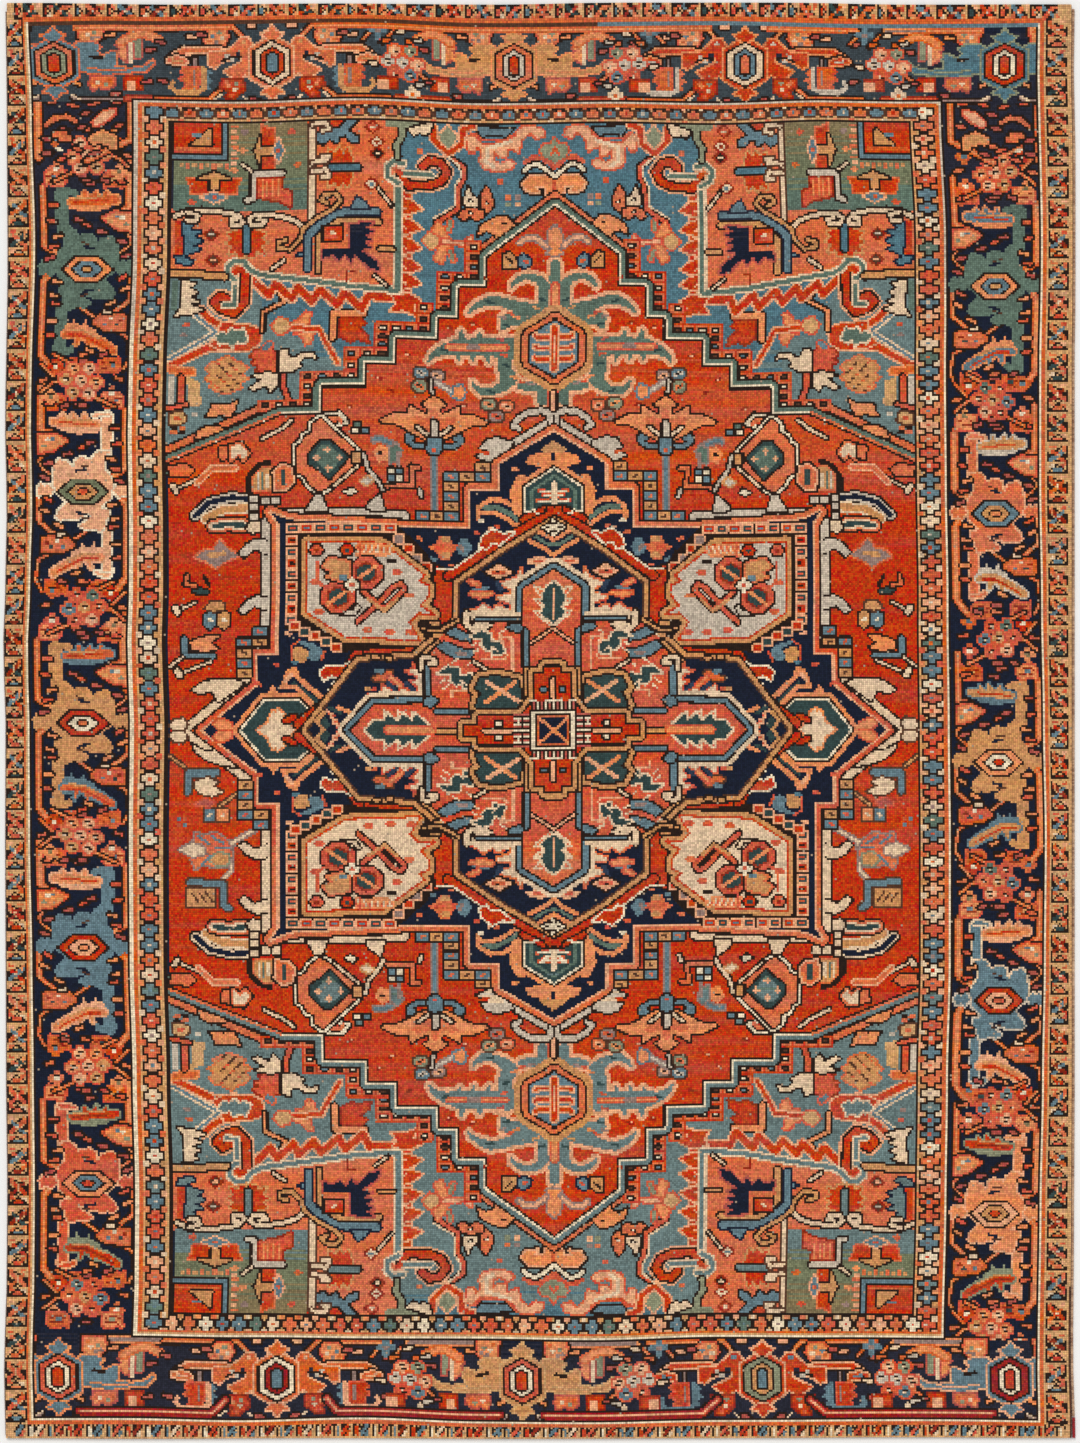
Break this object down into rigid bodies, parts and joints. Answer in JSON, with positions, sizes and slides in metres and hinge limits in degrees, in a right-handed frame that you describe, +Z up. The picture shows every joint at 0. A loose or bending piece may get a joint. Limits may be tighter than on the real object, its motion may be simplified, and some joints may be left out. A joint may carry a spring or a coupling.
{
  "type": "persian rug",
  "caption": "Room-size hand-knotted wool rug, lying flat, with a stepped medallion, arched corners, a dark palmette border between flowered guards, and overcast side edges.",
  "frame": {"origin": "on the floor, under the middle of the rug", "axes": "+X across the rug's width, +Y along its length, towards the end at the top of the picture, +Z up out of the pile"},
  "size_m": [2.6396, 3.533, 0.009],
  "materials": {
    "pile_wool": "matt, low cut wool pile, knotted in many colours",
    "left_overcast_wool": "matt, thin wool overcasting",
    "right_overcast_wool": "matt, wrapped wool yarn",
    "mend_wool": "matt, wrapped wool yarn of a later repair"
  },
  "bodies": {
    "root": {"knotted_sheet": "pile_wool", "selvedge_left": "left_overcast_wool", "selvedge_right": "right_overcast_wool", "selvedge_mend": "mend_wool"}
  },
  "joints": []
}
